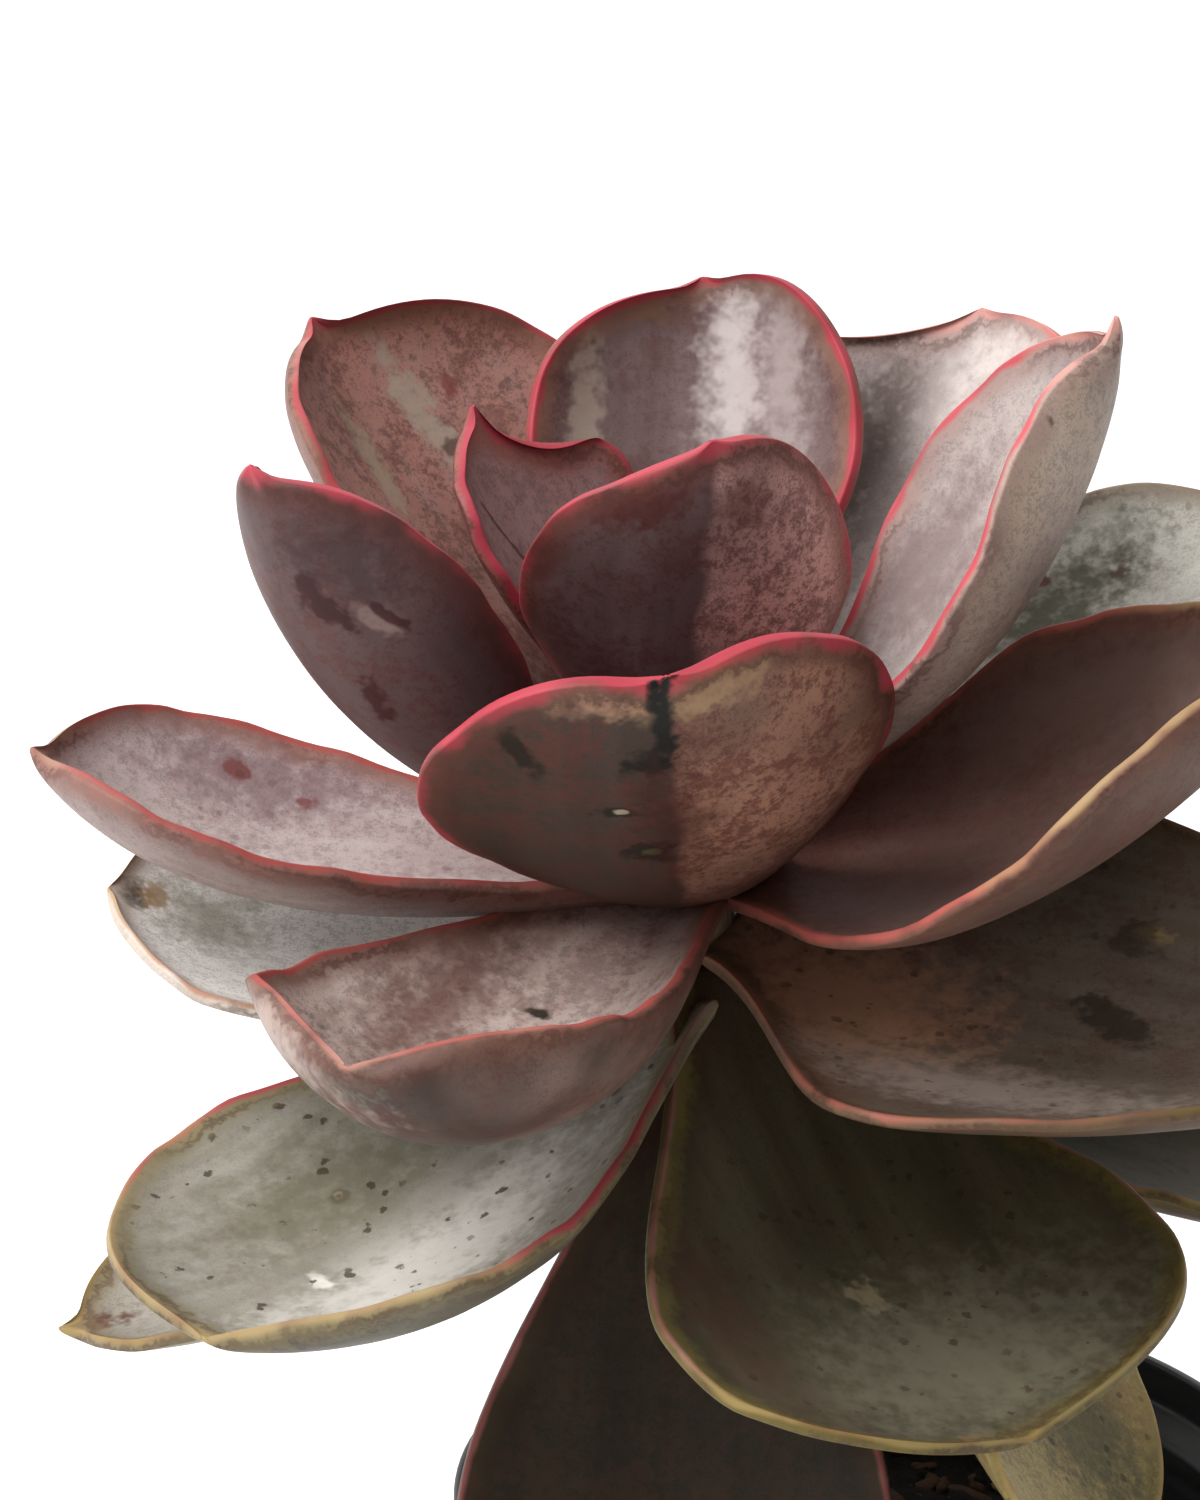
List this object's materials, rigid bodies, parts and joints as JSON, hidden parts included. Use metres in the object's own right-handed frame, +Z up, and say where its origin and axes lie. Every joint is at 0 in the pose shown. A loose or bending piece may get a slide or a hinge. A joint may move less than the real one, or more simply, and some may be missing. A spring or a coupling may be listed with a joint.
{
  "type": "potted red sky echeveria",
  "caption": "Rosette of broad, cupped, fleshy leaves with crimson rims on a short leaning stem, standing in the soil of a plain black pot.",
  "frame": {"origin": "middle of the pot's flat underside", "axes": "+Z up along the pot's axis, the picture is taken from -Y, and the rosette leans towards -X"},
  "size_m": [0.158, 0.1496, 0.2379],
  "materials": {
    "pot_plastic": "thin moulded black plastic, satin",
    "potting_soil": "dark, damp, crumbly potting mix with grit",
    "stem_bark": "dry brown bark with leaf scars",
    "upper_leaf": "mauve flesh under a pale waxy bloom, crimson rim",
    "middle_leaf": "silvery lavender flesh under a waxy bloom, pink rim",
    "lower_leaf": "pale grey-green flesh with specks, pink and brown rim",
    "oldest_leaf": "olive flesh with specks and scabs, straw rim"
  },
  "bodies": {
    "root": {"pot": "pot_plastic", "soil": "potting_soil", "stem": "stem_bark", "heart_leaves": "upper_leaf", "leaf_01": "upper_leaf", "leaf_02": "upper_leaf", "leaf_03": "upper_leaf", "leaf_04": "upper_leaf", "leaf_05": "upper_leaf", "leaf_06": "upper_leaf", "leaf_07": "upper_leaf", "leaf_08": "upper_leaf", "leaf_09": "middle_leaf", "leaf_10": "middle_leaf", "leaf_11": "middle_leaf", "leaf_12": "middle_leaf", "leaf_13": "middle_leaf", "leaf_14": "middle_leaf", "leaf_15": "lower_leaf", "leaf_16": "middle_leaf", "leaf_17": "middle_leaf", "leaf_18": "lower_leaf", "leaf_19": "lower_leaf", "leaf_20": "middle_leaf", "leaf_21": "lower_leaf", "leaf_22": "oldest_leaf", "leaf_23": "lower_leaf", "leaf_24": "lower_leaf", "leaf_25": "oldest_leaf", "leaf_26": "lower_leaf", "leaf_27": "oldest_leaf", "leaf_28": "lower_leaf", "leaf_29": "oldest_leaf", "leaf_30": "oldest_leaf", "leaf_31": "oldest_leaf", "leaf_32": "oldest_leaf"}
  },
  "joints": []
}
